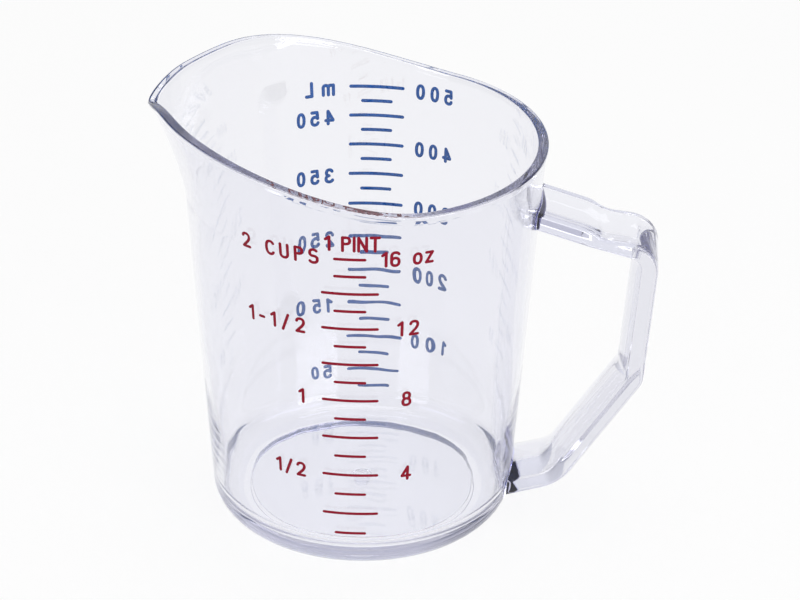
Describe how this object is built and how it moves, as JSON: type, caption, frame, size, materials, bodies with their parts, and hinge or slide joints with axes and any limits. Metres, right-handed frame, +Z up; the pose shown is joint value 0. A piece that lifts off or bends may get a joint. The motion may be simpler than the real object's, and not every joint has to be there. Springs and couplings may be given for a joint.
{
  "type": "measuring jug",
  "caption": "Clear tapered measuring jug with a raised pouring spout, a broad angular handle and raised graduations on both sides.",
  "frame": {"origin": "on the vessel's axis, in the plane that the foot rests on", "axes": "+Z up along the vessel's axis, +X towards the handle, -X towards the spout, -Y towards the US scale"},
  "size_m": [0.133, 0.0968, 0.1182],
  "materials": {
    "clear_plastic": "clear polished polycarbonate with a faint cool tint",
    "red_print": "raised dark red print, satin",
    "blue_print": "raised blue print, satin"
  },
  "bodies": {
    "root": {"vessel": "clear_plastic", "handle": "clear_plastic", "mark_oz_01": "red_print", "mark_oz_02": "red_print", "mark_oz_03": "red_print", "mark_oz_04": "red_print", "mark_oz_05": "red_print", "mark_oz_06": "red_print", "mark_oz_07": "red_print", "mark_oz_08": "red_print", "mark_oz_09": "red_print", "mark_oz_10": "red_print", "mark_oz_11": "red_print", "mark_oz_12": "red_print", "mark_oz_13": "red_print", "mark_oz_14": "red_print", "mark_oz_15": "red_print", "mark_oz_16": "red_print", "mark_ml_025": "blue_print", "mark_ml_050": "blue_print", "mark_ml_075": "blue_print", "mark_ml_100": "blue_print", "mark_ml_125": "blue_print", "mark_ml_150": "blue_print", "mark_ml_175": "blue_print", "mark_ml_200": "blue_print", "mark_ml_225": "blue_print", "mark_ml_250": "blue_print", "mark_ml_275": "blue_print", "mark_ml_300": "blue_print", "mark_ml_325": "blue_print", "mark_ml_350": "blue_print", "mark_ml_375": "blue_print", "mark_ml_400": "blue_print", "mark_ml_425": "blue_print", "mark_ml_450": "blue_print", "mark_ml_475": "blue_print", "mark_ml_500": "blue_print"}
  },
  "joints": []
}
